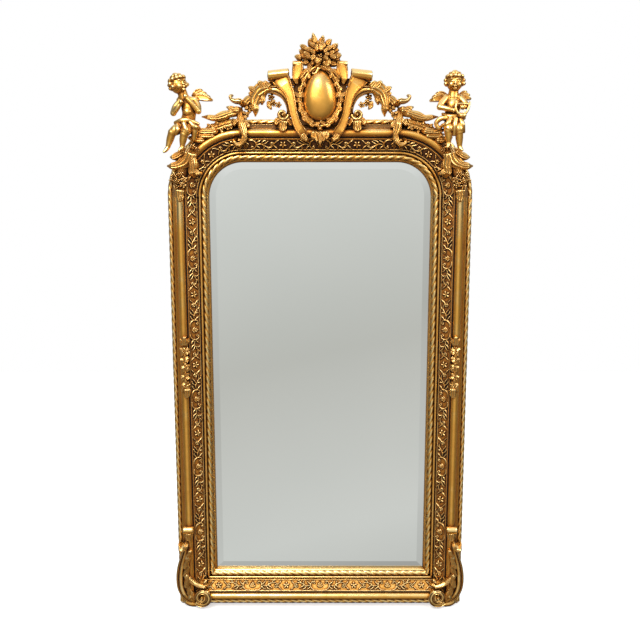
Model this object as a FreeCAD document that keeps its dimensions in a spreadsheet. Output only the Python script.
"""Gilded trumeau mirror: a tall carved wall mirror with an arched head, a crest and two putti.

Lengths are millimetres. X is to the right, Z is up, and the carved face looks along -Y.
The wall touches the back at y = 0, and z = 0 is the lower edge of the bottom rail.
A point of the moulding is written as (in, out): how far in from the frame's outer edge,
and how far out from the wall.
"""
import FreeCAD, Part

import math
import os
import re
from functools import partial

import Sketcher

Vector = FreeCAD.Vector
doc = FreeCAD.newDocument("TrumeauMirror")
sizes = doc.addObject("Spreadsheet::Sheet", "Sizes")

# ---------------------------------------------------------------- driving dimensions
DIMENSIONS = [
    # the frame as a whole
    ("frame_width", 1100), ("frame_height", 1850), ("sight_corner_radius", 125),
    # widths across the moulding, from the outer edge inwards
    ("back_setback", 0.2), ("outer_rope_diameter", 18), ("fit_gap", 0.3), ("cove_width", 14.7),
    ("torus_step", 5), ("torus_width", 26), ("quirk_width", 5), ("frieze_width", 40),
    ("bead_quirk", 4.7), ("bead_width", 8), ("sight_rope_diameter", 19), ("slope_width", 6.7),
    # depths of the moulding, from the wall outwards
    ("outer_rope_seat", 13), ("rope_flat", 2), ("cove_foot_depth", 28), ("cove_top_depth", 48),
    ("torus_spring_depth", 59), ("quirk_depth", 55), ("frieze_outer_depth", 58),
    ("frieze_inner_depth", 36), ("bead_quirk_depth", 33), ("bead_spring_depth", 38),
    ("sight_rope_seat", 22), ("slope_top_depth", 30), ("lip_depth", 22),
    # the carved strip in the frieze
    ("frieze_margin", 2), ("frieze_shoulder", 4), ("frieze_relief", 7),
    # the glass and what holds it
    ("glass_lip", 8), ("glass_edge_gap", 2), ("glass_thickness", 6), ("bevel_width", 33),
    ("bevel_drop", 3), ("glass_rebate_depth", 18), ("packing_thickness", 2), ("packing_width", 12),
    ("board_thickness", 7), ("board_ledge", 28), ("board_gap", 1),
    ("setting_block_length", 60), ("setting_block_width", 5), ("setting_block_place", 250),
    ("screw_head_diameter", 8), ("screw_head_height", 2.4), ("screw_diameter", 4), ("screw_bite", 12),
    ("board_screw_margin", 130),
    # the iron plates across the joints of the frame
    ("plate_length", 110), ("plate_width", 26), ("plate_thickness", 3), ("plate_inset", 62),
    ("plate_screw_inset", 14),
    # the hangers
    ("hanger_drop", 177), ("hanger_inset", 62), ("recess_room", 6),
    ("hanger_plate_length", 96), ("hanger_plate_width", 30), ("hanger_plate_thickness", 2.5),
    ("ring_wire", 6), ("ring_radius", 28), ("ring_play", 0.4), ("knuckle_length", 24),
    ("hanger_screw_drop", 46), ("hanger_screw_spacing", 36),
    # the crest's hidden support
    ("crest_board_width", 190), ("crest_board_height", 150), ("crest_board_thickness", 16),
    ("crest_board_depth", 30), ("crest_board_round", 57), ("crest_strap_width", 30), ("crest_strap_thickness", 4),
    ("crest_strap_spacing", 110), ("crest_strap_overlap", 84), ("crest_strap_reach", 120),
    # the carving: the plane its flat back lies in, and how far each kind stands out of it
    ("carving_gap", 0.3), ("crest_relief", 34), ("cabochon_relief", 58), ("cabochon_width", 120),
    ("cabochon_height", 178), ("cabochon_centre_height", 72), ("border_width", 17),
    ("stile_drop_height", 962), ("stile_drop_relief", 30),
]
for row, (name, size) in enumerate(DIMENSIONS, start=1):
    sizes.set(f"A{row}", name)
    sizes.set(f"B{row}", str(size))
    sizes.setAlias(f"B{row}", name)
doc.recompute()


def mm(words):
    """The value of an expression written with the sheet's names."""
    return float(sizes.evalExpression(words))


def bound(words):
    """The same expression as another object of the document has to write it."""
    return re.sub(r"\b([a-z]\w*)\b(?!\s*\()", r"Sizes.\1", words)


# ---------------------------------------------------------------- places across the moulding
COVE = "outer_rope_diameter + fit_gap"
STEP = COVE + " + cove_width"
TORUS = STEP + " + torus_step"
QUIRK = TORUS + " + torus_width"
FRIEZE = QUIRK + " + quirk_width"
BEAD_QUIRK = FRIEZE + " + frieze_width"
BEAD = BEAD_QUIRK + " + bead_quirk"
SIGHT_ROPE = BEAD + " + bead_width"
SLOPE = SIGHT_ROPE + " + 2 * fit_gap + sight_rope_diameter"
SIGHT = SLOPE + " + slope_width"
GLASS_WALL = f"{SIGHT} - glass_lip - glass_edge_gap"
BOARD_WALL = f"{SIGHT} - board_ledge"
BOARD_FACE = "glass_rebate_depth - glass_thickness - packing_thickness"
HEAD_RADIUS = f"{SIGHT} + sight_corner_radius"
HEAD_STRAIGHT = f"frame_width - 2 * ({HEAD_RADIUS})"
STILE_LENGTH = f"frame_height - ({HEAD_RADIUS})"
HALF_WIDTH = "frame_width / 2"
HANGER_HEIGHT = f"({STILE_LENGTH} - hanger_drop)"
SCREW_SINK = "screw_head_height + fit_gap"
KNUCKLE_RADIUS = "ring_wire / 2 + ring_play + hanger_plate_thickness"
RECESS_DEPTH = f"2 * ({KNUCKLE_RADIUS}) + fit_gap"
RECESS_REACH = "ring_radius + ring_wire / 2 + recess_room"

# An outline is its corners, and the arcs among its edges: the edge's number, and the depth
# of the arc's centre. A "front" arc is a half circle or more that bulges out of the frame.
MOULDING = [
    ("back_setback", "0"), ("back_setback", "outer_rope_seat"),
    (COVE, "outer_rope_seat"), (COVE, "cove_foot_depth"),
    (STEP, "cove_top_depth"), (TORUS, "cove_top_depth"),
    (TORUS, "torus_spring_depth"), (QUIRK, "torus_spring_depth"),
    (QUIRK, "quirk_depth"), (FRIEZE, "quirk_depth"),
    (FRIEZE, "frieze_outer_depth"), (BEAD_QUIRK, "frieze_inner_depth"),
    (BEAD_QUIRK, "bead_quirk_depth"), (BEAD, "bead_quirk_depth"),
    (BEAD, "bead_spring_depth"), (SIGHT_ROPE, "bead_spring_depth"),
    (SIGHT_ROPE, "sight_rope_seat"), (SLOPE, "sight_rope_seat"),
    (SLOPE, "slope_top_depth"), (SIGHT, "lip_depth"),
    (SIGHT, "glass_rebate_depth"), (GLASS_WALL, "glass_rebate_depth"),
    (GLASS_WALL, BOARD_FACE), (BOARD_WALL, BOARD_FACE), (BOARD_WALL, "0"),
]
MOULDING_ARCS = {3: ("cove_top_depth", "chord"), 6: ("torus_spring_depth", "front"),
                 14: ("bead_spring_depth", "front")}


def rope_outline(start, diameter, seat):
    """A rope planed flat at the back, lying on its seat beside a wall at start, in chords."""
    radius = mm(f"{diameter} / 2")
    edge = math.acos(1 - mm("rope_flat") / radius) - math.pi / 2
    angles = [edge + (math.pi - 2 * edge) * number / ROPE_CHORDS for number in range(ROPE_CHORDS + 1)]
    corners = [(f"{start} + {diameter} * {(1 + math.cos(angle)) / 2:.5f}",
                f"{seat} - rope_flat + {diameter} * {(1 + math.sin(angle)) / 2:.5f}")
               for angle in angles]
    corners[0] = (corners[0][0], seat)
    corners[-1] = (corners[-1][0], seat)
    return corners, {}


ROPE_CHORDS = 5
OUTER_ROPE = rope_outline("0", "outer_rope_diameter", "outer_rope_seat")
SIGHT_ROPE_LINE = rope_outline(SIGHT_ROPE + " + fit_gap", "sight_rope_diameter", "sight_rope_seat")

# The carved strip lies on the sloping frieze: points along the slope, then lifted square to it.
FALL = "(frieze_outer_depth - frieze_inner_depth) / frieze_width"
LIFT = f"frieze_relief / sqrt(1 + ({FALL})^2)"


def on_frieze(along, lift):
    """A point of the frieze's slope, lifted square to it by a share of the relief."""
    place = f"{FRIEZE} + {along} + {lift} * {LIFT} * {FALL}"
    return place, f"frieze_outer_depth - ({along}) * {FALL} + {lift} * {LIFT}"


FRIEZE_STRIP = ([on_frieze("frieze_margin", 0), on_frieze("frieze_margin + frieze_shoulder", 1),
                 on_frieze("frieze_width - frieze_margin - frieze_shoulder", 1),
                 on_frieze("frieze_width - frieze_margin", 0)], {})


def half_round(start, width, depth, chords):
    """The corners between the ends of a half round, as a few chords."""
    angles = [math.pi * number / chords for number in range(1, chords)]
    return [(f"{start} + {width} * {(1 - math.cos(angle)) / 2:.5f}",
             f"{depth} + {width} * {math.sin(angle) / 2:.5f}") for angle in angles]


COVE_CHORD = (f"{COVE} + cove_width * 0.7",
              "cove_foot_depth + (cove_top_depth - cove_foot_depth) * 0.36")
HEAD_MOULDING = (MOULDING[:4] + [COVE_CHORD] + MOULDING[4:7]
                 + half_round(TORUS, "torus_width", "torus_spring_depth", 5) + MOULDING[7:15]
                 + half_round(BEAD, "bead_width", "bead_spring_depth", 3) + MOULDING[15:])


# ---------------------------------------------------------------- sketches
def origin_plane(body, role):
    """One of the body's own origin planes or axes."""
    return next(item for item in body.Origin.OriginFeatures if item.Role == role)


def new_sketch(body, name, role, offset=""):
    """An empty sketch on one of the body's origin planes, at an offset along its normal."""
    sketch = body.newObject("Sketcher::SketchObject", f"{body.Name}_{name}")
    sketch.AttachmentSupport = (origin_plane(body, role), "")
    sketch.MapMode = "FlatFace"
    if offset:
        sketch.setExpression("AttachmentOffset.Base.z", bound(offset))
    return sketch


def tie(kind, edge, end, words):
    """A sketch distance from the origin, with the expression that drives it."""
    return Sketcher.Constraint(kind, -1, 1, edge, end, mm(words)), words


def pin_point(edge, end, place):
    """Two ties that hold a sketch point at two expressions."""
    return [tie(kind, edge, end, words) for kind, words in zip(("DistanceX", "DistanceY"), place)]


def add_ties(sketch, ties):
    """Add the distances and bind each one that is more than a plain number."""
    numbers = sketch.addConstraint([constraint for constraint, _ in ties])
    for number, (_, words) in zip(numbers, ties):
        if re.search("[a-z]", words):
            sketch.setExpression(f"Constraints[{number}]", bound(words))


def arc_edge(first, last, axis, centre_words, bulge, front):
    """An arc between two points, from one coordinate of its centre."""
    other = 1 - axis
    gap = [first[i] - last[i] for i in (0, 1)]
    total = sum(first[i] ** 2 - last[i] ** 2 for i in (0, 1)) / 2
    centre = [0.0, 0.0]
    centre[axis] = mm(centre_words)
    centre[other] = (total - gap[axis] * centre[axis]) / gap[other]
    radius = math.dist(first, centre)
    way = front
    if bulge == "chord":
        way = [(first[i] + last[i]) / 2 - centre[i] for i in (0, 1)]
    scale = radius / math.hypot(*way)
    middle = Vector(centre[0] + way[0] * scale, centre[1] + way[1] * scale, 0)
    return Part.Arc(Vector(*first, 0), middle, Vector(*last, 0))


def draw_outline(sketch, corners, arcs, axis=1, front=(0, -1)):
    """A closed outline whose corners and arc centres are expressions of the sheet."""
    spots = [(mm(a), mm(b)) for a, b in corners]
    edges = []
    for number, first in enumerate(spots):
        last = spots[(number + 1) % len(spots)]
        if number in arcs:
            edge = arc_edge(first, last, axis, *arcs[number], front)
        else:
            edge = Part.LineSegment(Vector(*first, 0), Vector(*last, 0))
        edges.append(sketch.addGeometry(edge))

    def end_at(edge, spot):
        ends = {1: sketch.getPoint(edge, 1), 2: sketch.getPoint(edge, 2)}
        return min(ends, key=lambda end: math.dist((ends[end].x, ends[end].y), spot))

    joins, ties = [], []
    for number, spot in enumerate(spots):
        before, after = edges[number - 1], edges[number]
        joins.append(Sketcher.Constraint(
            "Coincident", before, end_at(before, spot), after, end_at(after, spot)))
        ties += pin_point(after, end_at(after, spot), corners[number])
    for number, (centre_words, _) in arcs.items():
        ties.append(tie(("DistanceX", "DistanceY")[axis], edges[number], 3, centre_words))
    sketch.addConstraint(joins)
    add_ties(sketch, ties)
    return sketch


def section_on_xy(outline, place):
    """A moulding outline for a sketch whose X is the frame's X and whose Y is its Y."""
    corners, arcs = outline
    turned = [(place.format(f"({a})"), f"-({b})") for a, b in corners]
    return turned, {n: (f"-({c})", kind) for n, (c, kind) in arcs.items()}


def section_on_yz(outline, sign):
    """A moulding outline for a sketch whose X is the frame's Y and whose Y is its Z."""
    corners, arcs = outline
    turned = [(f"-({b})", f"{sign}({a})") for a, b in corners]
    return turned, {n: (f"-({c})", kind) for n, (c, kind) in arcs.items()}


def place_body(body, **places):
    """Bind the body's Placement to the sheet, so that it moves with the frame."""
    for axis, words in places.items():
        body.setExpression(f"Placement.Base.{axis}", bound(words))


def cut_through(body, sketch):
    """Cut the sketch's area away right through the body, both ways."""
    pocket = body.newObject("PartDesign::Pocket", sketch.Name + "_cut")
    pocket.Profile = sketch
    pocket.Type = "ThroughAll"
    pocket.SideType = "Symmetric"


# ---------------------------------------------------------------- lengths of moulding
MITRE_OVERRUN = "10"
AXIS_LENGTH = 50


def stile(label, outline, hand):
    """An upright length: straight up from the mitre to the springing of the arched head."""
    body = doc.addObject("PartDesign::Body", label)
    sign = "" if hand < 0 else "-"
    sketch = new_sketch(body, "section", "XY_Plane")
    draw_outline(sketch, *section_on_xy(outline, sign + "{}"))
    pad = body.newObject("PartDesign::Pad", label + "_length")
    pad.Profile = sketch
    pad.setExpression("Length", bound(STILE_LENGTH))
    mitre = new_sketch(body, "mitre", "XZ_Plane")
    far = f"{SIGHT} + {MITRE_OVERRUN}"
    draw_outline(mitre, [(f"{sign}(-{MITRE_OVERRUN})", f"-{MITRE_OVERRUN}"),
                         (f"{sign}({far})", far), (f"{sign}({far})", f"-{MITRE_OVERRUN}")], {})
    cut_through(body, mitre)
    place_body(body, x=f"-({HALF_WIDTH})" if hand < 0 else HALF_WIDTH)
    return body


def bottom_rail(label, outline):
    """The bottom length, mitred at both ends."""
    body = doc.addObject("PartDesign::Body", label)
    sketch = new_sketch(body, "section", "YZ_Plane")
    draw_outline(sketch, *section_on_yz(outline, ""), axis=0, front=(-1, 0))
    pad = body.newObject("PartDesign::Pad", label + "_length")
    pad.Profile = sketch
    pad.SideType = "Symmetric"
    pad.setExpression("Length", bound("frame_width"))
    far = f"{SIGHT} + {MITRE_OVERRUN}"
    for side, sign in (("left", "-"), ("right", "")):
        end = f"{HALF_WIDTH} + {MITRE_OVERRUN}"
        mitre = new_sketch(body, f"mitre_{side}", "XZ_Plane")
        draw_outline(mitre, [(f"{sign}({end})", f"-{MITRE_OVERRUN}"),
                             (f"{sign}({HALF_WIDTH} - ({far}))", far), (f"{sign}({end})", far)], {})
        cut_through(body, mitre)
    return body


def arched_head(label, outline):
    """The top length with its two rounded shoulders, turned about the sight corners' centres."""
    body = doc.addObject("PartDesign::Body", label)
    sketch = new_sketch(body, "section", "YZ_Plane")
    draw_outline(sketch, *section_on_yz(outline, "-"), axis=0, front=(-1, 0))
    pad = body.newObject("PartDesign::Pad", label + "_length")
    pad.Profile = sketch
    pad.SideType = "Symmetric"
    pad.setExpression("Length", bound(HEAD_STRAIGHT))
    foot = new_sketch(body, "foot", "XY_Plane", f"-({HEAD_RADIUS})")
    draw_outline(foot, *section_on_xy(outline, f"-({HALF_WIDTH}) + {{}}"))
    centre = f"-({HEAD_STRAIGHT}) / 2"
    axis = foot.addGeometry(
        Part.LineSegment(Vector(mm(centre), 0, 0), Vector(mm(centre), AXIS_LENGTH, 0)), True)
    add_ties(foot, pin_point(axis, 1, (centre, "0")) + pin_point(axis, 2, (centre, str(AXIS_LENGTH))))
    turn = body.newObject("PartDesign::Revolution", label + "_shoulder")
    turn.Profile = foot
    turn.ReferenceAxis = (foot, ["Axis0"])
    turn.Angle = 90
    mirrored = body.newObject("PartDesign::Mirrored", label + "_mirrored")
    mirrored.Originals = [turn]
    mirrored.MirrorPlane = (origin_plane(body, "YZ_Plane"), [""])
    body.Tip = mirrored
    place_body(body, z="frame_height")
    doc.recompute()
    return body


nodes = {}


def keep(item):
    """List a finished sub-part under its label."""
    nodes[item.Label] = item
    return item


LENGTHS = {
    "": ((MOULDING, MOULDING_ARCS), (HEAD_MOULDING, {})),
    "outer_rope_": (OUTER_ROPE, OUTER_ROPE),
    "sight_rope_": (SIGHT_ROPE_LINE, SIGHT_ROPE_LINE),
    "frieze_": (FRIEZE_STRIP, FRIEZE_STRIP)}
for prefix, (outline, head_outline) in LENGTHS.items():
    keep(stile(prefix + "stile_left", outline, -1))
    keep(stile(prefix + "stile_right", outline, 1))
    keep(bottom_rail(prefix + "bottom_rail", outline))
    keep(arched_head(prefix + "arched_head", head_outline))
doc.recompute()


# ---------------------------------------------------------------- housings in the frame's back
def rectangle(left, right, low, high):
    """The four corners of an upright rectangle."""
    return [(left, low), (right, low), (right, high), (left, high)]


def back_housing(label, name, corners, depth):
    """Sink a housing into the back face of a length of the frame, in its own coordinates."""
    body = nodes[label]
    sketch = new_sketch(body, name, "XZ_Plane")
    draw_outline(sketch, corners, {})
    pocket = body.newObject("PartDesign::Pocket", f"{label}_{name}_housing")
    pocket.Profile = sketch
    pocket.SideType = "Symmetric"
    pocket.setExpression("Length", bound(f"2 * ({depth})"))


PLATE_HOUSING = f"plate_thickness + {SCREW_SINK}"
NEAR, FAR = "plate_inset - plate_width / 2", "plate_inset + plate_width / 2"
CORNER_REACH = "plate_inset + plate_length"
for side, sign in (("left", ""), ("right", "-")):
    stile_label = f"stile_{side}"
    near, far = f"{sign}({NEAR})", f"{sign}({FAR})"
    top = f"{STILE_LENGTH} + {MITRE_OVERRUN}"
    back_housing(stile_label, "joint", rectangle(
        near, far, f"{STILE_LENGTH} - plate_length / 2", top), PLATE_HOUSING)
    back_housing(stile_label, "corner", rectangle(near, far, NEAR, CORNER_REACH), PLATE_HOUSING)
    back_housing(stile_label, "recess", rectangle(
        f"{sign}(hanger_inset - ({RECESS_REACH}))", f"{sign}(hanger_inset + ({RECESS_REACH}))",
        f"{HANGER_HEIGHT} - hanger_plate_length - recess_room", f"{HANGER_HEIGHT} + {RECESS_REACH}"),
        RECESS_DEPTH)
    edge = "-" if side == "left" else ""
    back_housing("bottom_rail", f"corner_{side}", rectangle(
        f"{edge}({HALF_WIDTH} - ({NEAR}))", f"{edge}({HALF_WIDTH} - ({CORNER_REACH}))",
        NEAR, FAR), PLATE_HOUSING)
    springing = f"-({HEAD_RADIUS})"
    back_housing("arched_head", f"joint_{side}", rectangle(
        f"{edge}({HALF_WIDTH} - ({NEAR}))", f"{edge}({HALF_WIDTH} - ({FAR}))",
        f"{springing} - {MITRE_OVERRUN}", f"{springing} + plate_length / 2"), PLATE_HOUSING)
    strap_centre = f"{edge}(crest_strap_spacing / 2)"
    back_housing("arched_head", f"strap_{side}", rectangle(
        f"{strap_centre} - crest_strap_width / 2", f"{strap_centre} + crest_strap_width / 2",
        "-crest_strap_overlap", MITRE_OVERRUN), f"crest_strap_thickness + {SCREW_SINK}")
doc.recompute()


# ---------------------------------------------------------------- glass and backing board
def arched_outline(body, name, edge, radius, depth):
    """The frame's arched outline, a distance in from its edge and at a depth in the panel."""
    sketch = new_sketch(body, name, "XZ_Plane", depth)
    side, top = f"({HALF_WIDTH} - ({edge}))", f"(frame_height - ({edge}))"
    spring = f"{top} - ({radius})"
    corners = [(f"-{side}", edge), (side, edge), (side, spring), (f"{side} - ({radius})", top),
               (f"-{side} + ({radius})", top), (f"-{side}", spring)]
    draw_outline(sketch, corners, {2: (spring, "chord"), 4: (spring, "chord")})
    return sketch


def arched_panel(label, edge, radius, back, thickness):
    """A flat panel with the frame's arched top."""
    body = doc.addObject("PartDesign::Body", label)
    pad = body.newObject("PartDesign::Pad", label + "_sheet")
    pad.Profile = arched_outline(body, "outline", edge, radius, "")
    pad.setExpression("Length", bound(thickness))
    place_body(body, y=f"-({back})")
    return body


GLASS_EDGE = f"{SIGHT} - glass_lip"
GLASS_BACK = "glass_rebate_depth - glass_thickness"
GLASS_RADIUS = "sight_corner_radius + glass_lip"
SQUARE_EDGE = "glass_thickness - bevel_drop"
glass = keep(arched_panel("mirror_glass", GLASS_EDGE, GLASS_RADIUS, GLASS_BACK, SQUARE_EDGE))
bevel = glass.newObject("PartDesign::AdditiveLoft", "mirror_glass_bevel")
bevel.Profile = arched_outline(glass, "bevel_foot", GLASS_EDGE, GLASS_RADIUS, SQUARE_EDGE)
bevel.Sections = [arched_outline(glass, "bevel_top", GLASS_EDGE + " + bevel_width",
                                 GLASS_RADIUS + " - bevel_width", "glass_thickness")]
bevel.Ruled = True

BOARD_EDGE = f"{BOARD_WALL} + board_gap"
board = keep(arched_panel("backing_board", BOARD_EDGE,
                          "sight_corner_radius + board_ledge - board_gap",
                          f"{BOARD_FACE} - board_thickness", "board_thickness"))
doc.recompute()


# ---------------------------------------------------------------- plain shapes set by formula
def solid_node(label, shapes):
    """A sub-part made of one or more separate solids worked out below."""
    item = doc.addObject("Part::Feature", label)
    item.Shape = shapes[0] if len(shapes) == 1 else Part.makeCompound(shapes)
    item.Placement = FreeCAD.Placement()
    return keep(item)


def block(left, right, back, front, low, high):
    """A rectangular block between two values of X, two depths from the wall and two heights."""
    return Part.makeBox(abs(right - left), front - back, high - low,
                        Vector(min(left, right), -front, low))


def rod(radius, start, end):
    """A round rod between two points."""
    way = end - start
    return Part.makeCylinder(radius, way.Length, start, way)


FLATNESS = 1e-6
SMALL_SIDES = 6


def polygon(points):
    """A closed wire of straight lines."""
    return Part.makePolygon(points + points[:1])


def flat_faces(a, b, c, d):
    """The skin between four corners: one flat face where they share a plane, or two triangles."""
    normal = (b - a).cross(c - a)
    if normal.Length > FLATNESS and abs(normal.normalize().dot(d - a)) < FLATNESS:
        return [Part.Face(polygon([a, b, c, d]))]
    return [Part.Face(polygon([a, b, c])), Part.Face(polygon([a, c, d]))]


def ruled_solid(rings):
    """A solid skinned with flat faces from each ring of points to the next."""
    faces = [Part.Face(polygon(rings[0])), Part.Face(polygon(rings[-1]))]
    for low, high in zip(rings, rings[1:]):
        for number in range(len(low)):
            after = (number + 1) % len(low)
            faces += flat_faces(low[number], low[after], high[after], high[number])
    shell = Part.makeShell(faces)
    shell.sewShape()
    solid = Part.Solid(shell)
    return solid if solid.Volume > 0 else solid.reversed()


def bar_rings(place, stations):
    """Rings of a bar square to the wall: its radius at each depth."""
    turns = [2 * math.pi * side / SMALL_SIDES for side in range(SMALL_SIDES)]
    return [[place + Vector(radius * math.cos(turn), -depth, radius * math.sin(turn))
             for turn in turns] for radius, depth in stations]


def screw(x, height, seat):
    """A wood screw driven from the back, its tapered head drawn down to a seat."""
    shank = mm("screw_diameter") / 2
    return ruled_solid(bar_rings(Vector(x, 0, height), [
        (mm("screw_head_diameter") / 2, seat - mm("screw_head_height")),
        (shank, seat), (shank, seat + mm("screw_bite"))]))


def drilled(shape, screws):
    """The shape with clearance holes for the screws that pass through it."""
    radius = mm("screw_diameter / 2 + fit_gap")
    holes = [ruled_solid(bar_rings(place, [(radius, 0), (radius, BIGGEST_DEPTH)])) for place in screws]
    return shape.cut(Part.makeCompound(holes))


BIGGEST_DEPTH = 60
half_width, frame_height, sight = mm(HALF_WIDTH), mm("frame_height"), mm(SIGHT)
springing = mm(STILE_LENGTH)
head_centre = mm(HEAD_STRAIGHT) / 2
head_radius = mm(HEAD_RADIUS)

# the glass stands on two setting blocks, and felt strips keep the board off its silvering
glass_side, glass_low = half_width - mm(GLASS_EDGE), mm(GLASS_EDGE)
glass_top = frame_height - mm(GLASS_EDGE)
glass_back = mm(GLASS_BACK)
block_half = mm("setting_block_length") / 2
block_depths = (glass_back, glass_back + mm("setting_block_width"))
solid_node("setting_blocks", [
    block(x - block_half, x + block_half, *block_depths, mm(GLASS_WALL), glass_low)
    for x in (-mm("setting_block_place"), mm("setting_block_place"))])
strip = mm("packing_width")
strip_depths = (mm(BOARD_FACE), glass_back)
strip_top = springing - strip
solid_node("glass_packing", [
    block(-glass_side, -glass_side + strip, *strip_depths, glass_low + strip, strip_top),
    block(glass_side - strip, glass_side, *strip_depths, glass_low + strip, strip_top),
    block(-glass_side, glass_side, *strip_depths, glass_low, glass_low + strip),
    block(-head_centre, head_centre, *strip_depths, glass_top - strip, glass_top)])

# the board is screwed to its ledge all round
board_inset = mm(f"{BOARD_WALL} + board_ledge / 4 + board_gap")
margin = mm("board_screw_margin")
side_screws = [Vector(side * (half_width - board_inset), 0, height) for side in (-1, 1)
               for height in (sight + margin, (sight + springing) / 2, springing - margin)]
end_screws = [Vector(share * (half_width - sight - margin), 0, height) for share in (-1, 1)
              for height in (board_inset, frame_height - board_inset)]
end_screws = [Vector(max(-head_centre, min(head_centre, spot.x)), 0, spot.z) for spot in end_screws]
board_screws = side_screws + end_screws
board_back = mm(f"{BOARD_FACE} - board_thickness")
solid_node("board_screws", [screw(spot.x, spot.z, board_back) for spot in board_screws])
holes = new_sketch(board, "screw_holes", "XZ_Plane")
hole_radius = mm("screw_diameter / 2 + fit_gap")
for spot in board_screws:
    corners = [Vector(spot.x, spot.z, 0) + hole_radius * Vector(
        math.cos(2 * math.pi * side / SMALL_SIDES), math.sin(2 * math.pi * side / SMALL_SIDES), 0)
        for side in range(SMALL_SIDES)]
    holes.addGeometry([Part.LineSegment(corner, corners[side - 1])
                       for side, corner in enumerate(corners)])
cut_through(board, holes)
doc.recompute()

# iron plates across the joints: straight ones at the springing, angle irons at the mitres
plate_half, plate_reach = mm("plate_width") / 2, mm("plate_length") / 2
plate_seat, plate_front = mm(SCREW_SINK), mm(PLATE_HOUSING)
inset = mm("plate_inset")
screw_inset = mm("plate_screw_inset")
joint_plates, corner_irons, plate_screws = [], [], []
for side in (-1, 1):
    x = side * (half_width - inset)
    spots = [Vector(x, 0, springing + way * (plate_reach - screw_inset)) for way in (-1, 1)]
    joint_plates.append(drilled(block(x - plate_half, x + plate_half, plate_seat, plate_front,
                                      springing - plate_reach, springing + plate_reach), spots))
    plate_screws += spots
    leg = mm("plate_length")
    upright = block(x - plate_half, x + plate_half, plate_seat, plate_front,
                    inset - plate_half, inset + leg)
    level = block(x + side * plate_half, x - side * leg, plate_seat, plate_front,
                  inset - plate_half, inset + plate_half)
    spots = [Vector(x, 0, inset + leg - screw_inset), Vector(x - side * (leg - screw_inset), 0, inset)]
    corner_irons.append(drilled(upright.fuse(level).removeSplitter(), spots))
    plate_screws += spots
solid_node("joint_plates", joint_plates)
solid_node("corner_irons", corner_irons)
solid_node("plate_screws", [screw(spot.x, spot.z, plate_seat) for spot in plate_screws])


def level_bar(radius, middle, half, sides):
    """A bar along X with a few flat sides, half its length to either side of its middle."""
    turns = [2 * math.pi * side / sides for side in range(sides)]
    return ruled_solid([[middle + Vector(reach, radius * math.cos(turn), radius * math.sin(turn))
                         for turn in turns] for reach in (-half, half)])


# the hangers: a plate rolled round the straight side of a D-shaped ring, let into each stile
knuckle_radius, recess_depth = mm(KNUCKLE_RADIUS), mm(RECESS_DEPTH)
pivot_depth, pivot_height = recess_depth - knuckle_radius, mm(HANGER_HEIGHT)
wire, ring_radius = mm("ring_wire") / 2, mm("ring_radius")
knuckle_half, hanger_half = mm("knuckle_length") / 2, mm("hanger_plate_width") / 2
hanger_screws = []
BOW_STEPS, WIRE_SIDES, KNUCKLE_SIDES = 10, 6, 10
WIRE_TURNS = [2 * math.pi * side / WIRE_SIDES for side in range(WIRE_SIDES)]
for side, sign in (("left", -1), ("right", 1)):
    x = sign * (half_width - mm("hanger_inset"))
    pivot = Vector(x, -pivot_depth, pivot_height)
    along = Vector(1, 0, 0)
    plate = block(x - hanger_half, x + hanger_half, recess_depth - mm("hanger_plate_thickness"),
                  recess_depth, pivot_height - mm("hanger_plate_length"), pivot_height)
    knuckle = level_bar(knuckle_radius, pivot, knuckle_half, KNUCKLE_SIDES)
    bore = rod(wire + mm("ring_play"), pivot - along * ring_radius, pivot + along * ring_radius)
    spots = [Vector(x, 0, pivot_height - mm("hanger_screw_drop") - step * mm("hanger_screw_spacing"))
             for step in (0, 1)]
    solid_node(f"hanger_plate_{side}", [drilled(plate.fuse(knuckle).cut(bore), spots)])
    hanger_screws += spots
    loops = []
    for step in range(BOW_STEPS + 1):
        swing = math.pi * step / BOW_STEPS
        outward = Vector(math.cos(swing), 0, -math.sin(swing))
        loops.append([pivot + outward * (ring_radius + wire * math.cos(turn))
                      + Vector(0, wire * math.sin(turn), 0) for turn in WIRE_TURNS])
    bar = level_bar(wire, pivot, ring_radius + wire, KNUCKLE_SIDES)
    solid_node(f"hanger_ring_{side}", [ruled_solid(loops).fuse(bar)])
solid_node("hanger_screws", [screw(spot.x, spot.z, recess_depth - mm("hanger_plate_thickness"))
                             for spot in hanger_screws])


# ---------------------------------------------------------------- the crest's hidden support
def cove_reach(depth):
    """How far in from the edge the head's cove lies at a depth from the wall."""
    corners = [(mm(place), mm(out)) for place, out in (HEAD_MOULDING[3], COVE_CHORD, HEAD_MOULDING[5])]
    low, high = next(pair for pair in zip(corners, corners[1:]) if depth <= pair[1][1])
    return low[0] + (high[0] - low[0]) * (depth - low[1]) / (high[1] - low[1])


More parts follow.
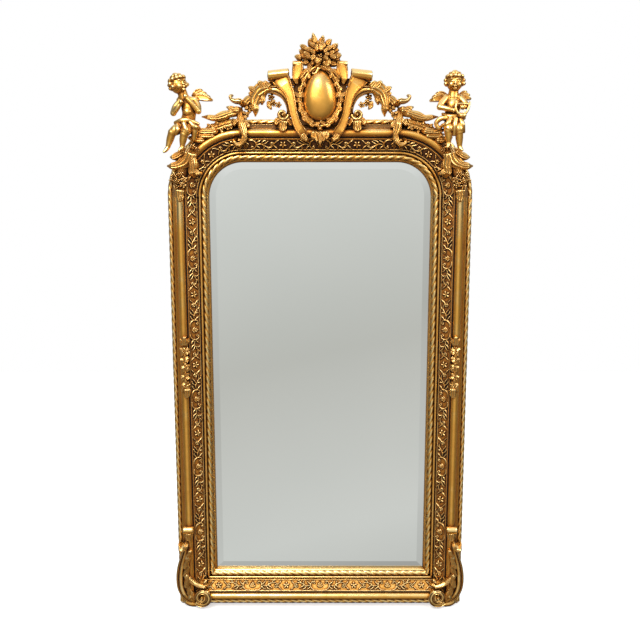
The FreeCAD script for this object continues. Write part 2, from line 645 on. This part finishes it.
board_depth = mm("crest_board_depth")
carving_back = board_depth + mm("crest_board_thickness")
board_foot = frame_height - cove_reach(board_depth) + mm("carving_gap")
board_half, board_top = mm("crest_board_width") / 2, frame_height + mm("crest_board_height")
crest_board = block(-board_half, board_half, board_depth, carving_back, board_foot, board_top)
crown_edges = [edge for edge in crest_board.Edges
               if all(abs(vertex.Z - board_top) < 1e-6 for vertex in edge.Vertexes)
               and abs(edge.Vertexes[0].X - edge.Vertexes[1].X) < 1e-6]
solid_node("crest_board", [crest_board.makeFillet(mm("crest_board_round"), crown_edges)])
strap_half, strap_back = mm("crest_strap_width") / 2, mm(SCREW_SINK)
strap_front = strap_back + mm("crest_strap_thickness")
strap_top = frame_height + mm("crest_strap_reach")
strap_foot = frame_height - mm("crest_strap_overlap")
crest_straps, crest_blocks, crest_screws = [], [], []
for sign in (-1, 1):
    x = sign * mm("crest_strap_spacing") / 2
    spots = [Vector(x, 0, strap_foot + screw_inset), Vector(x, 0, strap_foot + 3 * screw_inset),
             Vector(x, 0, strap_top - screw_inset)]
    crest_straps.append(drilled(block(x - strap_half, x + strap_half, strap_back, strap_front,
                                      strap_foot, strap_top), spots))
    crest_blocks.append(block(x - strap_half, x + strap_half, strap_front, board_depth,
                              frame_height + mm("carving_gap"), strap_top))
    crest_screws += spots
solid_node("crest_straps", crest_straps)
solid_node("crest_blocks", crest_blocks)
solid_node("crest_screws", [screw(spot.x, spot.z, strap_back) for spot in crest_screws])


# ---------------------------------------------------------------- carving: how a form is made
# The carving was drawn on a frame of these sizes. A point keeps its distance from the top edge.
# The crest stays round the centre line and the corners keep their distance from the side
# edges, so a wider frame only stretches what lies between them.
DRAWN_HALF_WIDTH, DRAWN_HEIGHT, DRAWN_CREST, DRAWN_CORNER = 550, 1850, 256, 380
WIDENING = half_width - DRAWN_HALF_WIDTH
RAISING = frame_height - DRAWN_HEIGHT
CHIP_SHARE = 0.05
PETAL_REACH = 1.05
NARROW = 22


def at_head(x, z):
    """A drawn point of the crest or the upper corners, on this frame."""
    share = max(0, min(1, (abs(x) - DRAWN_CREST) / (DRAWN_CORNER - DRAWN_CREST)))
    return x + math.copysign(share * WIDENING, x), z + RAISING


def at_foot(x, z):
    """A drawn point of a lower corner, on this frame."""
    return x + math.copysign(WIDENING, x), z


def stroke(path, back, relief, place=at_head, dish=0.75):
    """One carved stroke: a leaf or scroll with a flat back and two raised edges round a hollow.

    The path holds (x, z, half width) from end to end. The relief drops low at both ends, and a
    narrow stroke has a plain flat crown.
    """
    spots = [Vector(place(x, z)[0], 0, place(x, z)[1]) for x, z, _ in path]
    section = [(-1, 0), (-0.8, 1), (0, dish), (0.8, 1), (1, 0)]
    if max(half for _, _, half in path) < NARROW:
        section = [(-1, 0), (-0.6, 1), (0.6, 1), (1, 0)]
    rings = []
    for number, spot in enumerate(spots):
        ahead = spots[min(number + 1, len(spots) - 1)] - spots[max(number - 1, 0)]
        across = Vector(ahead.z, 0, -ahead.x).normalize()
        half = path[number][2]
        rise = relief * (1 if 0 < number < len(spots) - 1 else 0.4)
        rings.append([spot + across * (half * share) - Vector(0, back + rise * lift, 0)
                      for share, lift in section])
    return ruled_solid(rings)


def ring_of_points(centre, back, radius, sides):
    """Points evenly round a centre at one depth."""
    turns = [math.pi / 2 + 2 * math.pi * number / sides for number in range(sides)]
    return [Vector(centre[0] + radius * math.cos(turn), -back, centre[1] + radius * math.sin(turn))
            for turn in turns]


def blossom(x, z, radius, back, relief, place=at_head, petals=5):
    """A flower: one corner to a petal at the rim, rising to a small flat heart."""
    centre = place(x, z)
    return ruled_solid([ring_of_points(centre, back, radius * PETAL_REACH, petals),
                        ring_of_points(centre, back + relief, radius * 0.5, petals)])


def disc(x, z, radius, back, relief, place=at_head, sides=8):
    """A low round boss, such as the body or the eye of a volute."""
    centre = place(x, z)
    return ruled_solid([ring_of_points(centre, back, radius, sides),
                        ring_of_points(centre, back + relief, radius * 0.8, sides)])


def round_limb(rings, sides=5, place=at_head):
    """A limb or body: rings of (x, z, depth, radius) carried along a line, rounded at the far end."""
    centres = []
    for x, z, depth, radius in rings:
        moved = place(x, z)
        centres.append((Vector(moved[0], -depth, moved[1]), radius))
    first, (last, last_radius) = centres[0][0], centres[-1]
    end_way = (last - centres[-2][0]).normalize()
    centres.append((last + end_way * last_radius * 0.7, last_radius * 0.6))
    side_way = (last - first).cross(Vector(0, 1, 0))
    if side_way.Length < 1:
        side_way = Vector(1, 0, 0)
    side_way.normalize()
    loops = []
    for number, (centre, radius) in enumerate(centres):
        way = centres[min(number + 1, len(centres) - 1)][0] - centres[max(number - 1, 0)][0]
        way.normalize()
        across = (side_way - way * side_way.dot(way)).normalize()
        up = way.cross(across)
        loops.append([centre + across * radius * math.cos(2 * math.pi * side / sides)
                      + up * radius * math.sin(2 * math.pi * side / sides) for side in range(sides)])
    return ruled_solid(loops)


def level_roll(left, right, depth, radius, place=at_head, sides=8):
    """A rolled end of a ribbon: a prism lying across the face between two points."""
    loops = []
    for x, z in (left, right):
        moved = place(x, z)
        loops.append([Vector(moved[0], -depth - radius * math.cos(2 * math.pi * side / sides),
                             moved[1] + radius * math.sin(2 * math.pi * side / sides))
                      for side in range(sides)])
    return ruled_solid(loops)


def sided(path, hand):
    """The left side's path as it is for hand 1, or mirrored about the centre line for -1."""
    return [(hand * x, *rest) for x, *rest in path]


# ---------------------------------------------------------------- what the carving is fitted over
BEYOND = 5
gap = mm("carving_gap")
rope_crown = mm("outer_rope_seat + outer_rope_diameter") + gap
torus_shoulder = mm("torus_spring_depth + torus_width / 4")
torus_crown = mm("torus_spring_depth + torus_width / 2") + gap
strip_lift = mm(f"frieze_relief * sqrt(1 + ({FALL})^2)") + gap
bead_crown = mm("bead_spring_depth + bead_width / 2") + gap
ENVELOPE = [
    (-gap, -BEYOND), (-gap, rope_crown), (mm(COVE), rope_crown), (mm(STEP), mm("cove_top_depth") + gap),
    (mm(TORUS) - gap, torus_shoulder), (mm(TORUS + " + torus_width * 0.22"), torus_crown),
    (mm(TORUS + " + torus_width * 0.78"), torus_crown), (mm(QUIRK) + gap, torus_shoulder),
    (mm(FRIEZE), mm("frieze_outer_depth") + strip_lift),
    (mm(BEAD_QUIRK), mm("frieze_inner_depth") + strip_lift), (mm(SLOPE), bead_crown),
    (mm(SIGHT) + BEYOND, mm("lip_depth")), (mm(SIGHT) + BEYOND, -BEYOND)]
TURN_STEPS = 7
CHORD_GROWTH = 1 / math.cos(math.pi / 4 / TURN_STEPS)
CHORD_COVER = 0.8


def length_envelope(to_point, way):
    """The room that a straight length of finished moulding takes up, its ropes included."""
    return Part.Face(polygon([to_point(place, depth) for place, depth in ENVELOPE])).extrude(way)


def shoulder_envelope(hand):
    """The same round a shoulder, in steps whose chords stay clear of the moulding."""
    sections = []
    for step in range(TURN_STEPS + 1):
        angle = math.pi / 2 * step / TURN_STEPS
        sections.append([
            Vector(hand * (head_centre + (head_radius - place) * CHORD_GROWTH * math.cos(angle)),
                   -depth - CHORD_COVER,
                   springing + (head_radius - place) * CHORD_GROWTH * math.sin(angle))
            for place, depth in ENVELOPE])
    return ruled_solid(sections)


ENVELOPES = [
    length_envelope(lambda place, depth: Vector(-half_width + place, -depth, 0),
                    Vector(0, 0, springing)),
    length_envelope(lambda place, depth: Vector(half_width - place, -depth, 0),
                    Vector(0, 0, springing)),
    length_envelope(lambda place, depth: Vector(-half_width, -depth, place),
                    Vector(2 * half_width, 0, 0)),
    length_envelope(lambda place, depth: Vector(-head_centre, -depth, frame_height - place),
                    Vector(2 * head_centre, 0, 0)),
    shoulder_envelope(-1),
    shoulder_envelope(1),
]
carved = []


def carve(label, forms):
    """Join the forms into one carved piece and fit it over the moulding and its neighbours."""
    piece = forms[0].multiFuse(forms[1:]) if len(forms) > 1 else forms[0]
    for tool in ENVELOPES + carved:
        if piece.BoundBox.intersect(tool.BoundBox):
            piece = piece.cut(tool)
    whole = sum(solid.Volume for solid in piece.Solids)
    kept = [solid.removeSplitter() for solid in piece.Solids if solid.Volume > CHIP_SHARE * whole]
    piece = kept[0] if len(kept) == 1 else Part.makeCompound(kept)
    carved.append(piece)
    return solid_node(label, [piece])


# ---------------------------------------------------------------- the crest
LOW, HIGH = carving_back, mm("crest_relief")
egg_centre_z = DRAWN_HEIGHT + mm("cabochon_centre_height")
egg_half_width, egg_half_height = mm("cabochon_width") / 2, mm("cabochon_height") / 2
EGG_SIDES = 20
EGG_TAPER = 0.16


def egg(share, depth, grow=0.0):
    """A ring of the cabochon: an egg that narrows towards its top."""
    points = []
    for number in range(EGG_SIDES):
        angle = 2 * math.pi * number / EGG_SIDES
        height = math.sin(angle)
        width = (egg_half_width * share + grow) * math.cos(angle) * (1 - EGG_TAPER * height)
        x, z = at_head(width, egg_centre_z + (egg_half_height * share + grow) * height)
        points.append(Vector(x, -depth, z))
    return points


dome = mm("cabochon_relief")
foot_depth = LOW + dome * 0.25
cabochon = ruled_solid([egg(1, LOW), egg(1, foot_depth), egg(0.9, LOW + dome * 0.66),
                        egg(0.68, LOW + dome * 0.88), egg(0.36, LOW + dome)])
border_width = mm("border_width")
border = ruled_solid([egg(1, LOW, border_width), egg(1, LOW + HIGH, border_width),
                      egg(1, LOW + HIGH, border_width * 0.4)])
border = border.cut(ruled_solid([egg(1, LOW - BEYOND, gap), egg(1, LOW + 2 * HIGH, gap)]))
carve("cabochon", [cabochon])
carve("cabochon_border", [border])

ROLL_Z, ROLL_RADIUS = 1996, 19
for side, hand in (("left", 1), ("right", -1)):
    drawn = partial(sided, hand=hand)
    strap = stroke(drawn([(-142, 1990, 33), (-124, 1962, 25), (-104, 1932, 15), (-93, 1896, 11),
                          (-84, 1860, 11), (-75, 1825, 12), (-66, 1795, 14), (-58, 1778, 13)]),
                   LOW, HIGH + 8)
    roll = level_roll(*drawn([(-181, ROLL_Z - 5), (-108, ROLL_Z + 3)]), LOW + HIGH * 0.6, ROLL_RADIUS)
    flap = stroke(drawn([(-79, 1962, 3), (-79, 1982, 11), (-78, 2004, 17), (-77, 2026, 17)]),
                  LOW, HIGH)
    flap_roll = level_roll(*drawn([(-94, 2030), (-60, 2030)]), LOW + HIGH * 0.7, 12)
    flap_root = stroke(drawn([(-112, 1968, 14), (-88, 1974, 12)]), LOW, HIGH * 0.6)
    carve(f"scroll_strap_{side}", [strap, roll, flap, flap_roll, flap_root])

    scroll = stroke(drawn([(-254, 1936, 4), (-232, 1945, 11), (-205, 1948, 15), (-175, 1946, 17),
                           (-146, 1936, 17), (-122, 1914, 16), (-110, 1888, 13), (-110, 1862, 10),
                           (-121, 1847, 8), (-136, 1847, 7)]), LOW, HIGH)
    droop = stroke(drawn([(-228, 1940, 12), (-215, 1915, 14), (-219, 1888, 11), (-230, 1859, 3)]),
                   LOW + 4, HIGH - 8)
    fan = stroke(drawn([(-202, 1946, 24), (-203, 1964, 21), (-204, 1976, 15)]), LOW, HIGH - 10)
    eye = disc(*drawn([(-128, 1863, 17)])[0], LOW, HIGH * 0.6)
    button = disc(*drawn([(-128, 1863, 9)])[0], LOW, HIGH + 6)
    hearts = [blossom(*drawn([spot])[0], LOW, HIGH - 4) for spot in
              ((-168, 1915, 15), (-146, 1903, 16), (-134, 1886, 14))]
    inner_leaf = stroke(drawn([(-168, 1908, 10), (-166, 1893, 8), (-161, 1880, 3)]), LOW, HIGH - 14)
    pendant = stroke(drawn([(-132, 1848, 9), (-141, 1828, 15), (-139, 1803, 4)]), LOW, HIGH + 10)
    carve(f"c_scroll_{side}", [scroll, droop, fan, eye, button, inner_leaf, pendant] + hearts)

BOUQUET = [(0, 2052, 26), (-40, 2050, 24), (40, 2050, 24), (-66, 2048, 17), (62, 2050, 15),
           (-22, 2082, 24), (22, 2080, 24), (-52, 2082, 17), (44, 2082, 14), (-10, 2106, 20)]
stem = stroke([(0, 2008, 20), (0, 2030, 34), (0, 2050, 42), (0, 2075, 30), (-8, 2100, 16)], LOW, HIGH - 12)
tips = [stroke([(-60, 2050, 10), (-78, 2056, 8), (-92, 2062, 3)], LOW + 4, HIGH - 10),
        stroke([(-20, 2110, 10), (-27, 2126, 8), (-29, 2138, 3)], LOW + 4, HIGH - 10),
        stroke([(4, 2106, 9), (10, 2118, 7), (13, 2128, 3)], LOW + 4, HIGH - 10)]
carve("bouquet", [stem] + tips + [blossom(*spot, LOW, HIGH + 4 * (number % 3))
                                  for number, spot in enumerate(BOUQUET)])
carve("palmette", [stroke([(0, 1822, 20), (0, 1802, 30), (0, 1782, 26), (0, 1762, 14), (0, 1750, 4)],
                          LOW, HIGH + 8), disc(0, 1812, 11, LOW, HIGH + 18)])


# ---------------------------------------------------------------- garlands, putti and corners
PUTTI = {
    "left": {
        "head": [(-491, 1938, 80, 24), (-491, 1958, 80, 33), (-490, 1974, 78, 31)],
        "limbs": [
            [(-489, 1946, 76, 13), (-478, 1904, 72, 15)],
            [(-468, 1902, 68, 26), (-462, 1868, 66, 24), (-464, 1832, 66, 27)],
            [(-486, 1900, 72, 13), (-510, 1864, 88, 12)], [(-510, 1864, 88, 12), (-478, 1892, 102, 9)],
            [(-442, 1902, 72, 14), (-416, 1886, 90, 12)], [(-416, 1886, 90, 12), (-462, 1922, 100, 9)],
            [(-478, 1820, 76, 22), (-510, 1796, 98, 18)], [(-510, 1796, 98, 17), (-530, 1756, 88, 12), (-541, 1740, 94, 8)],
            [(-455, 1820, 76, 22), (-468, 1788, 104, 18)], [(-468, 1788, 104, 17), (-472, 1748, 96, 12), (-478, 1732, 104, 8)]],
        "wings": [[(-448, 1926, 12), (-425, 1930, 20), (-400, 1918, 15), (-380, 1910, 5)]],
        "drapery": [[(-502, 1828, 10), (-478, 1818, 16), (-446, 1822, 14), (-418, 1848, 5)],
                    [(-470, 1812, 20), (-462, 1790, 24), (-458, 1768, 16)]],
    },
    "right": {
        "head": [(465, 1955, 80, 23), (465, 1972, 80, 31), (465, 1984, 78, 28)],
        "limbs": [
            [(465, 1962, 76, 12), (464, 1916, 72, 14)],
            [(463, 1914, 68, 26), (462, 1876, 66, 24), (466, 1838, 66, 27)],
            [(439, 1920, 74, 13), (418, 1886, 88, 12)], [(418, 1886, 88, 12), (452, 1876, 104, 9)],
            [(488, 1916, 72, 13), (502, 1886, 86, 12)], [(502, 1886, 86, 12), (478, 1874, 104, 9)],
            [(474, 1830, 76, 22), (474, 1798, 102, 18)], [(474, 1798, 102, 17), (484, 1754, 92, 12), (492, 1738, 100, 8)],
            [(456, 1830, 76, 22), (440, 1802, 104, 18)], [(440, 1802, 104, 17), (446, 1764, 98, 12), (442, 1748, 106, 8)]],
        "wings": [[(442, 1934, 10), (418, 1936, 16), (400, 1922, 13), (389, 1908, 4)],
                  [(488, 1942, 9), (506, 1936, 12), (526, 1920, 4)]],
        "drapery": [[(500, 1842, 10), (478, 1848, 14), (450, 1846, 13), (422, 1862, 5)],
                    [(466, 1836, 22), (469, 1806, 25), (472, 1758, 18)]],
    },
}
LYRE = [(494, 1884, 104, 8), (500, 1862, 104, 13), (508, 1852, 104, 8)]
PUTTO_BACK, WING_BACK, WING_RELIEF = 36, 36, 18

for side, figure in PUTTI.items():
    forms = [round_limb(figure["head"], sides=7)]
    forms += [round_limb(limb) for limb in figure["limbs"]]
    forms += [stroke(wing, WING_BACK, WING_RELIEF) for wing in figure["wings"]]
    forms += [stroke(cloth, PUTTO_BACK, 52) for cloth in figure["drapery"]]
    if side == "right":
        forms.append(round_limb(LYRE))
    carve(f"putto_{side}", forms)

GARLAND_BACK, GARLAND_RELIEF = LOW, HIGH - 2
GARLAND_BLOSSOMS = [(-254, 1938, 15), (-244, 1914, 14), (-256, 1884, 17), (-268, 1862, 16),
                    (-300, 1842, 17), (-334, 1834, 18), (-368, 1822, 18), (-400, 1806, 18)]
DROP_BLOSSOMS = [(-497, 1662, 15), (-492, 1636, 18), (-499, 1606, 15)]
STILE_DROP = [(58, 20), (28, 17), (-2, 18), (-36, 17), (-66, 15)]
DROP_INSET = 55
drop_middle = mm("stile_drop_height")
for side, hand in (("left", 1), ("right", -1)):
    drawn = partial(sided, hand=hand)
    garland = [
        stroke(drawn([(-250, 1926, 7), (-262, 1896, 12), (-290, 1874, 14), (-330, 1860, 13),
                      (-370, 1852, 9), (-412, 1850, 3)]), GARLAND_BACK, GARLAND_RELIEF),
        stroke(drawn([(-258, 1926, 7), (-284, 1908, 8), (-303, 1909, 6), (-313, 1926, 3)]),
               GARLAND_BACK, GARLAND_RELIEF - 8),
        stroke(drawn([(-272, 1884, 10), (-304, 1889, 8), (-327, 1893, 3)]),
               GARLAND_BACK, GARLAND_RELIEF - 4),
        stroke(drawn([(-290, 1848, 12), (-345, 1832, 16), (-400, 1802, 16), (-436, 1776, 8)]),
               GARLAND_BACK - 14, GARLAND_RELIEF + 18),
        stroke(drawn([(-280, 1896, 8), (-277, 1862, 11), (-271, 1828, 12), (-264, 1797, 11),
                      (-262, 1774, 8)]), GARLAND_BACK, GARLAND_RELIEF + 8),
        stroke(drawn([(-266, 1774, 6), (-284, 1764, 6), (-299, 1770, 5), (-302, 1782, 3)]),
               GARLAND_BACK, GARLAND_RELIEF)]
    flowers = [blossom(*drawn([spot])[0], GARLAND_BACK, GARLAND_RELIEF + 4 * (number % 2))
               for number, spot in enumerate(GARLAND_BLOSSOMS)]
    carve(f"garland_{side}", garland + flowers)

    corner = [
        stroke(drawn([(-458, 1752, 16), (-470, 1726, 21), (-490, 1703, 18), (-515, 1690, 12),
                      (-543, 1690, 4)]), 30, 62),
        stroke(drawn([(-448, 1752, 15), (-449, 1722, 18), (-444, 1690, 17), (-440, 1655, 12),
                      (-438, 1634, 4)]), 30, 56),
        blossom(*drawn([(-500, 1742, 20)])[0], 20, 62),
        stroke(drawn([(-486, 1722, 14), (-494, 1680, 13), (-497, 1650, 11), (-499, 1600, 13),
                      (-500, 1575, 10), (-501, 1548, 3)]), 40, 44)]
    corner += [blossom(*drawn([spot])[0], 40, 50) for spot in DROP_BLOSSOMS]
    carve(f"corner_leaf_{side}", corner)

    def on_stile(x, z, hand=hand):
        """A point of the drop that hangs on the upright's torus."""
        return -hand * (half_width - DROP_INSET) + x, drop_middle + z

    relief = mm("stile_drop_relief")
    drop_back = mm("torus_spring_depth")
    drop = [stroke([(0, 120, 3), (0, 100, 14), (0, 78, 12)], drop_back, relief, on_stile),
            stroke([(0, 84, 8), (0, 20, 10), (0, -40, 10), (0, -78, 12), (0, -102, 15), (0, -122, 5)],
                   drop_back, relief - 4, on_stile)]
    drop += [blossom(0, z, radius, drop_back, relief + 2, on_stile) for z, radius in STILE_DROP]
    carve(f"stile_drop_{side}", drop)

    foot = [
        stroke(drawn([(-498, 322, 12), (-500, 290, 8), (-508, 255, 12), (-520, 210, 18),
                      (-532, 165, 21), (-537, 120, 21), (-533, 78, 20), (-515, 44, 18),
                      (-487, 23, 15), (-455, 15, 12), (-430, 28, 10), (-420, 54, 9),
                      (-430, 78, 8), (-452, 86, 7)]), 14, 72, at_foot),
        level_roll(*drawn([(-518, 327), (-482, 327)]), 74, 15, at_foot),
        stroke(drawn([(-522, 150, 9), (-498, 126, 12), (-474, 108, 12), (-446, 100, 8),
                      (-424, 98, 3)]), 30, 54, at_foot),
        stroke(drawn([(-512, 244, 8), (-528, 256, 7), (-541, 266, 3)]), 14, 50, at_foot),
        disc(*drawn([(-452, 50, 30)])[0], 30, 44, at_foot),
        disc(*drawn([(-452, 50, 11)])[0], 30, 60, at_foot)]
    carve(f"foot_scroll_{side}", foot)


# ---------------------------------------------------------------- check and write
def main():
    """Check every object and sub-part, then write one STEP file for each."""
    doc.recompute()
    for item in doc.Objects:
        if "Invalid" in item.State or "Error" in item.State:
            raise SystemExit(f"{item.Label} failed: {item.State}")
    os.makedirs("parts", exist_ok=True)
    for label, item in nodes.items():
        shape = item.Shape
        if shape.isNull() or not shape.isValid() or not shape.Solids:
            raise SystemExit(f"{label} has no valid solid")
        shape.exportStep(f"parts/{label}.step")
        print(f"{label}: {len(shape.Solids)} solid(s), {shape.Volume / 1000:.1f} cm3")


main()
